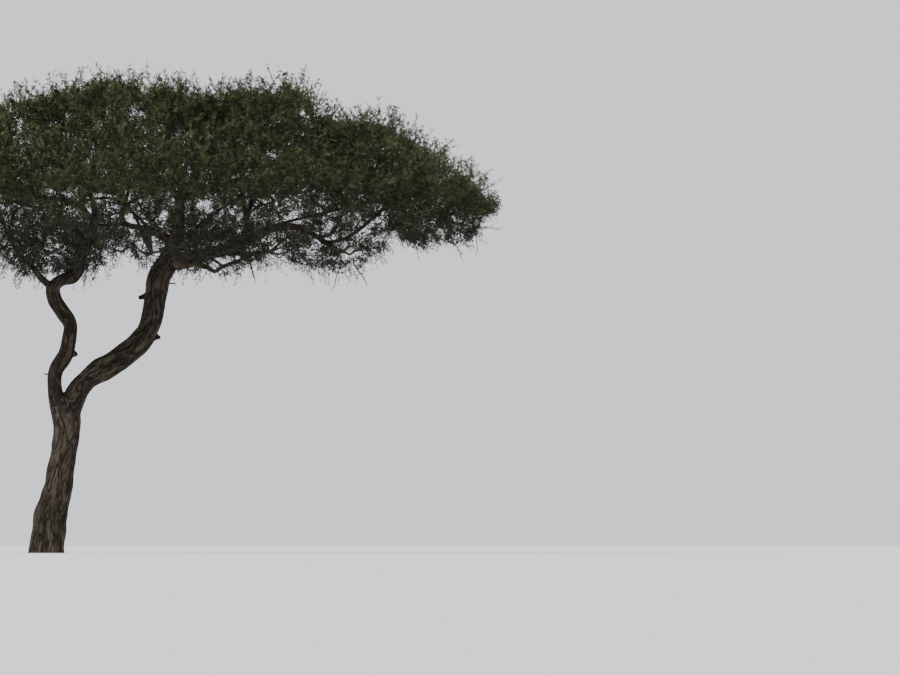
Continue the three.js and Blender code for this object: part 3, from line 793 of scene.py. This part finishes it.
class Twigs:
    """A mass's network of twigs: each place, the place it grows from, and its radius"""

    def __init__(self, mass, rng):
        foot = mass.entry.point(1) + mass.entry.tangent(1) * CLEAR
        fork = foot + (mass.middle - foot) * STEM_SHARE
        tips = shell_tips(mass, rng)
        tips = tips[np.argsort(length(tips - fork))]
        self.at = np.concatenate([[foot, fork], tips])
        self.source = np.zeros(len(self.at), int)
        self.source[0] = -1
        path = np.zeros(len(self.at))
        path[1] = length(fork - foot)
        for i in range(2, len(self.at)):
            gaps = length(self.at[1:i] - self.at[i])
            best = 1 + np.argmin(gaps + THRIFT * path[1:i])
            self.source[i] = best
            path[i] = path[best] + gaps[best - 1]
        self.fed = np.ones(len(self.at))
        for i in range(len(self.at) - 1, 0, -1):
            self.fed[self.source[i]] += self.fed[i]
        share = (self.fed / self.fed[0]) ** TWIG["power"]
        self.radius = np.maximum(TWIG["stem"] * share, TWIG["tip"])

    def runs(self):
        """Unbranched runs: each goes on through the twig that feeds most tips"""
        heir = np.full(len(self.at), -1)
        for i in range(1, len(self.at)):
            source = self.source[i]
            if heir[source] < 0 or self.fed[i] > self.fed[heir[source]]:
                heir[source] = i
        for i in range(1, len(self.at)):
            if i > 1 and heir[self.source[i]] == i:
                continue
            run = [self.source[i], i]
            while heir[run[-1]] >= 0:
                run.append(heir[run[-1]])
            yield run


def add_run(tubes, twigs, run):
    middles = twigs.at[run]
    radii = twigs.radius[run].copy()
    if run[0] != 0:
        radii[0] = radii[1]
    radii[-1] *= TWIG["end"]
    sides = TWIG["sides" if radii.max() < TWIG["round_from"] else "round_sides"]
    tubes.add(middles, radii, sides)


def any_ways(rng, count):
    return unit(rng.normal(size=(count, 3)))


# Shoots: short side twigs that carry the leaves, and whips: longer ones on the crown's outside
def grow_shoots(twigs, rng):
    thin = np.flatnonzero(twigs.radius < SHOOT["on_thinner"])
    thin = thin[thin > 1]
    ends = twigs.at[thin]
    topmost = np.clip((ends[:, 2] - leaf_top(ends)) / TOP_RICHNESS["layer"] + 1, 0, 1)
    rate = SHOOT["a_twig"] * fullness(ends) * (1 + TOP_RICHNESS["more"] * topmost)
    thin = np.repeat(thin, rng.poisson(rate))
    start = twigs.at[twigs.source[thin]]
    end = twigs.at[thin]
    foot = start + (end - start) * rng.random((len(thin), 1)) ** SHOOT["towards_tip"]
    out = unit((foot - [CROWN["middle"], 0, CROWN["base"]]) * SHOOT["flatter"])
    stray = SHOOT["stray"] * any_ways(rng, len(thin))
    way = unit(SHOOT["along"] * unit(end - start) + SHOOT["out"] * out + stray)
    tip = foot + way * rng.uniform(*SHOOT["long"], (len(thin), 1))
    kept = rng.random(len(tip)) < share_in_gaps(tip)
    return foot[kept], tip[kept]


def in_box(p):
    low, high = (np.array(corner) / MM for corner in cad_box)
    return np.all((p > low) & (p < high), axis=-1)


def grow_whips(twigs, rng):
    """Polylines that stand out of the leaves, as far as the crown's outline"""
    at = twigs.at[2:]
    chance = rng.random(len(at))
    outer = at[:, 2] > leaf_top(at) - WHIP["top_layer"]
    outer |= crown_share(at) > WHIP["rim_from"]
    lowest = at[:, 2] < leaf_base(at) + WHIP["base_layer"]
    chosen = (outer & (chance < WHIP["share"])) | (lowest & (chance < WHIP["base_share"]))
    at, lowest = at[chosen], lowest[chosen]
    out = (at - WHIP["from"]) / np.square(WHIP["reach"])
    way = unit(unit(out) + WHIP["stray"] * any_ways(rng, len(at)))
    way[:, 2] -= WHIP["sag"] * np.clip((WHIP["sag_under"] - at[:, 2]) / WHIP["sag_layer"], 0, 1)
    way = unit(way)
    bend = any_ways(rng, len(at))
    short = rng.uniform(*WHIP["base_long"], len(at))
    long = np.where(lowest, short, rng.uniform(*WHIP["long"], len(at)))
    whips = []
    for foot, ahead, aside, reach in zip(at, way, bend, long):
        for shorter in WHIP["shorter"]:
            line = whip_line(foot, foot + ahead * reach * shorter, aside * reach * shorter)
            if in_box(line[-1]):
                whips.append(line)
                break
    return whips


def whip_line(foot, tip, aside):
    t = np.linspace(0, 1, WHIP["steps"] + 1)[:, None]
    return foot + (tip - foot) * t + aside * WHIP["bend"] * t * (1 - t)


def add_whips(tubes, whips):
    for line in whips:
        tubes.add(line, np.linspace(WHIP["foot"], WHIP["tip"], len(line)), WHIP["sides"])


def nearest_twig(networks, place):
    ends = np.concatenate([twigs.at[2:] for twigs in networks])
    return ends[np.argmin(length(ends - place))]


def grow_sprigs(networks, rng):
    """Whips, a few from one foot, to the places where the crown's outline has its highest sprigs"""
    sprigs = []
    for across, height in SPRIGS:
        top = np.array([across, rng.uniform(-1, 1) * SPRIG["depth"], height])
        below = top - [rng.uniform(-1, 1) * SPRIG["lean"], 0, SPRIG["long"]]
        foot = nearest_twig(networks, below)
        for _ in range(SPRIG["count"]):
            apart = rng.normal(0, SPRIG["apart"], 3)
            tip = top + [apart[0], apart[1], -abs(apart[2])]
            sprigs.append(whip_line(foot, tip, any_ways(rng, 1)[0] * SPRIG["long"]))
    return sprigs


def mixed(ends, t):
    return ends[0] + (ends[1] - ends[0]) * t


def spray_shape():
    """A spray's vertices and faces: its foot is the origin, its tip is at +Y, and its length is 1"""
    places = []
    faces = []
    for t in np.linspace(0, 1, SPRAY["pairs"]):
        along = mixed(SPRAY["along"], t)
        least, more = SPRAY["swell"]
        start, wave = SPRAY["swell_turn"]
        reach = SPRAY["reach"] * (least + more * math.sin(math.pi * (start + wave * t)))
        turn = math.radians(mixed(SPRAY["open"], t))
        out, ahead = reach * math.sin(turn), along + reach * math.cos(turn)
        first = len(places)
        places += [(0, along - SPRAY["wide"] / 2, 0), (0, along + SPRAY["wide"] / 2, 0)]
        places += [(out, ahead, -SPRAY["droop"] * reach), (-out, ahead, -SPRAY["droop"] * reach)]
        faces += [(first, first + 2, first + 1), (first, first + 1, first + 3)]
    return np.array(places), np.array(faces)


def sprays_on_shoots(foot, tip, rng):
    """Yields roots, directions and lengths of sprays"""
    ahead = unit(tip - foot)
    for share, spread in SHOOT_SPRAYS:
        loose = any_ways(rng, len(foot))
        aside = unit(loose - ahead * np.sum(loose * ahead, axis=1, keepdims=True))
        forward = SPRAY_AHEAD["most"] - SPRAY_AHEAD["less_by_spread"] * spread
        ways = unit(ahead * forward + aside * spread)
        yield foot + (tip - foot) * share, ways, rng.uniform(*SPRAY["long"], len(foot))


def sprays_on_whips(whips, rng):
    for line in whips:
        long = length(line[-1] - line[0])
        count = max(int(long / WHIP["leaf_gap"]), WHIP["fewest_leaves"])
        places = np.linspace(WHIP["leaves_from"], 1, count) * (len(line) - 1)
        i = np.minimum(places.astype(int), len(line) - 2)
        w = (places - i)[:, None]
        roots = line[i] * (1 - w) + line[i + 1] * w
        ways = unit(WHIP["leaves_ahead"] * unit(line[i + 1] - line[i]) + any_ways(rng, count))
        yield roots, ways, rng.uniform(*SPRAY["long"], count) * WHIP["leaf_size"]


def leaf_pieces(sprays, rng):
    roots, ways, longs = (np.concatenate(part) for part in zip(*sprays))
    middles = roots + ways * longs[:, None] / 2
    kept = in_box(roots + ways * longs[:, None])
    kept &= rng.random(len(roots)) < share_in_gaps(middles)
    kept &= ~inside(middles) | (rng.random(len(roots)) < INSIDE["kept"])
    kept = rng.permutation(np.flatnonzero(kept))[:SPRAYS]
    roots, ways = roots[kept], ways[kept]
    longs = longs[kept] * between_rows(SPRAY_SIZES, roots[:, 2]) * edge_size(roots)
    flats = any_ways(rng, len(roots)) * SPRAY["tilt"] + [0, 0, 1]
    flats = unit(flats - ways * np.sum(flats * ways, axis=1, keepdims=True))
    shape, shape_faces = spray_shape()
    axes = np.stack([np.cross(ways, flats), ways, flats], axis=1) * longs[:, None, None]
    places = roots[:, None] + np.einsum("kc,ncd->nkd", shape, axes)
    # Painted light and shade: the higher a spray stands in the crown, the paler the colour it gets
    light = (roots[:, 2] - CROWN["base"]) / (crown_top(crown_share(roots)) - CROWN["base"])
    light += rng.normal(0, LEAF_SPREAD, len(roots))
    made = []
    for name, part in zip(LEAF_COLOURS, np.array_split(np.argsort(light), len(LEAF_COLOURS))):
        faces = np.arange(len(part))[:, None, None] * len(shape) + shape_faces
        made.append(mesh_object(name, places[part].reshape(-1, 3), faces, 3, False))
    return made


def add_hanging(tubes, networks, rng):
    count = HANGING_TWIG["places"]
    for depth, (x, z), (tip_x, tip_z), radius in HANGING:
        start = np.array([x, depth, z], float)
        end = np.array([tip_x, depth - HANGING_TWIG["nearer"], tip_z], float)
        foot = nearest_twig(networks, start)
        t = np.linspace(0, 1, count)[:, None]
        line = start + (end - start) * t + rng.normal(0, HANGING_TWIG["waver"], (count, 3)) * t
        radii = np.linspace(radius, HANGING_TWIG["tip"], count + 1)
        tubes.add(np.concatenate([[foot], line]), radii, HANGING_TWIG["sides"])


def make_foliage():
    """The twigs, the shoots with the whips, and the leaves"""
    twig_tubes = Tubes()
    shoot_tubes = Tubes()
    sprays = []
    networks = []
    for number, mass in enumerate(masses):
        rng = np.random.default_rng(SEED + number)
        twigs = Twigs(mass, rng)
        networks.append(twigs)
        for run in twigs.runs():
            add_run(twig_tubes, twigs, run)
        feet, tips = grow_shoots(twigs, rng)
        for foot, tip in zip(feet, tips):
            shoot_tubes.add_cone(foot, tip, SHOOT["foot"])
        whips = grow_whips(twigs, rng)
        add_whips(shoot_tubes, whips)
        sprays += sprays_on_shoots(feet, tips, rng)
        sprays += sprays_on_whips(whips, rng)
    add_snags(twig_tubes, thin=True)
    rng = np.random.default_rng(SEED - 1)
    add_hanging(twig_tubes, networks, rng)
    sprigs = grow_sprigs(networks, rng)
    add_whips(shoot_tubes, sprigs)
    sprays += sprays_on_whips(sprigs, rng)
    return twig_tubes.piece("twigs"), shoot_tubes.piece("shoots"), leaf_pieces(sprays, rng)


# Materials
class Nodes:
    """A material's node tree and its shader"""

    def __init__(self, name, roughness, specular, colour=None):
        self.material = bpy.data.materials.new(name)
        self.material.use_nodes = True
        self.tree = self.material.node_tree
        self.shader = self.tree.nodes["Principled BSDF"]
        if colour:
            self.shader.inputs["Base Color"].default_value = (*colour, 1)
        self.shader.inputs["Roughness"].default_value = roughness
        self.shader.inputs["Specular IOR Level"].default_value = specular

    def node(self, kind, **values):
        node = self.tree.nodes.new(kind)
        for name, value in values.items():
            if name in node.inputs:
                node.inputs[name].default_value = value
            else:
                setattr(node, name, value)
        return node

    def join(self, source, output, target, socket):
        self.tree.links.new(source.outputs[output], target.inputs[socket])

    def pattern(self, name, source=None, output="Object"):
        node = self.node("ShaderNodeTexNoise", **PATTERNS[name])
        self.join(source or self.node("ShaderNodeTexCoord"), output, node, "Vector")
        return node

    def ramp(self, source, output, stops):
        node = self.node("ShaderNodeValToRGB")
        elements = node.color_ramp.elements
        while len(elements) < len(stops):
            elements.new(0.5)
        for element, (place, colour) in zip(elements, stops):
            element.position = place
            element.color = (*colour, 1)
        self.join(source, output, node, "Fac")
        return node

    def calculated(self, operation, source, output, number):
        node = self.node("ShaderNodeMath", operation=operation)
        node.inputs[1].default_value = number
        self.join(source, output, node, 0)
        return node

    def multiplied(self, first, second):
        product = self.node("ShaderNodeMixRGB", blend_type="MULTIPLY", Fac=1.0)
        self.join(first, "Color", product, "Color1")
        self.join(second, "Color", product, "Color2")
        return product

    def bump(self, source, output, size):
        node = self.node("ShaderNodeBump", **size)
        self.join(source, output, node, "Height")
        self.join(node, "Normal", self.shader, "Normal")


def bark_material():
    """Plates that run along the limb, with fissures between them that are painted dark, as shade in their
    recesses
    """
    nodes = Nodes("bark", roughness=0.95, specular=0.15)
    grain = nodes.node("ShaderNodeAttribute", attribute_name=GRAIN)
    stretch = nodes.node("ShaderNodeMapping", Scale=(1, 1, ALONG_SCALE))
    nodes.join(grain, "Vector", stretch, "Vector")
    plates = nodes.pattern("plates", stretch, "Vector")
    centred = nodes.calculated("SUBTRACT", plates, "Fac", NOISE_MIDDLE)
    away = nodes.node("ShaderNodeMath", operation="ABSOLUTE")
    nodes.join(centred, 0, away, 0)
    fissures = nodes.ramp(away, 0, PLATE_EDGES)
    fibres = nodes.pattern("fibres", stretch, "Vector")
    weather = nodes.pattern("weather")
    tints = nodes.ramp(fibres, "Fac", BARK_TINTS)
    patches = nodes.ramp(weather, "Fac", BARK_PATCHES)
    # Painted shade: the fissures darken the bark's colour, as shade in their recesses
    painted_fissure_shade = nodes.ramp(fissures, "Color", PAINTED_FISSURE_SHADE)
    colour = nodes.multiplied(nodes.multiplied(tints, patches), painted_fissure_shade)
    nodes.join(colour, "Color", nodes.shader, "Base Color")
    relief = nodes.calculated("MULTIPLY_ADD", fibres, "Fac", FIBRE_RELIEF)
    nodes.join(fissures, "Color", relief, 2)
    nodes.bump(relief, 0, BARK_BUMP)
    return nodes.material


def twig_material(name):
    nodes = Nodes(name, roughness=0.9, specular=0.2)
    colour = nodes.ramp(nodes.pattern("blotches"), "Fac", TWIG_TINTS)
    nodes.join(colour, "Color", nodes.shader, "Base Color")
    return nodes.material


def leaf_material(name, colour):
    nodes = Nodes(name, roughness=0.62, specular=0.25, colour=colour)
    nodes.bump(nodes.pattern("veins"), "Fac", LEAF_BUMP)
    return nodes.material


# Camera, floor and light
def make_camera():
    camera = in_scene("camera", bpy.data.cameras.new("camera"))
    camera.data.lens = CAMERA["lens"]
    camera.data.sensor_width = CAMERA["sensor"]
    camera.data.clip_end = CAMERA["metres_seen"]
    across, away, height = camera_place()
    up = (FOOT_PIXEL[1] - PHOTO["height"] / 2) * MM_A_PIXEL
    eye = Vector((across, -away, height)) * MM
    target = Vector((across, 0, up)) * MM
    camera.location = eye
    camera.rotation_euler = (target - eye).to_track_quat("-Z", "Y").to_euler()
    bpy.context.scene.camera = camera


def make_floor():
    turns = np.arange(FLOOR_SIDES) * 2 * math.pi / FLOOR_SIDES
    rim = np.stack([np.cos(turns), np.sin(turns), turns * 0], axis=1) * FLOOR_RADIUS
    floor = mesh_object("floor", rim, np.arange(FLOOR_SIDES), FLOOR_SIDES, False)
    nodes = Nodes("floor", roughness=1.0, specular=0.0, colour=FLOOR_COLOUR)
    floor.data.materials.append(nodes.material)


def make_light():
    world = bpy.data.worlds.new("studio")
    world.use_nodes = True
    sky = world.node_tree.nodes["Background"].inputs
    sky["Color"].default_value = (*SKY["colour"], 1)
    sky["Strength"].default_value = SKY["strength"]
    bpy.context.scene.world = world
    key = in_scene("key", bpy.data.lights.new("key", "SUN"))
    key.data.energy = KEY["strength"]
    key.data.angle = math.radians(KEY["soft"])
    key.data.color = KEY["colour"]
    key.rotation_euler = [math.radians(turn) for turn in KEY["turns"]]


# The tree, put together
make_camera()
make_floor()
make_light()
grow_boughs()

bark = make_bark()
bark.data.materials.append(bark_material())
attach(bark, "root")
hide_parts(*(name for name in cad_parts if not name.startswith("crown")))

twigs, shoots, leaves = make_foliage()
for piece in (twigs, shoots):
    piece.data.materials.append(twig_material(f"{piece.name}_bark"))
for piece in leaves:
    piece.data.materials.append(leaf_material(piece.name, LEAF_COLOURS[piece.name]))
for piece in (twigs, shoots, *leaves):
    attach(piece, "root")
    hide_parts(*(mass.name for mass in masses))
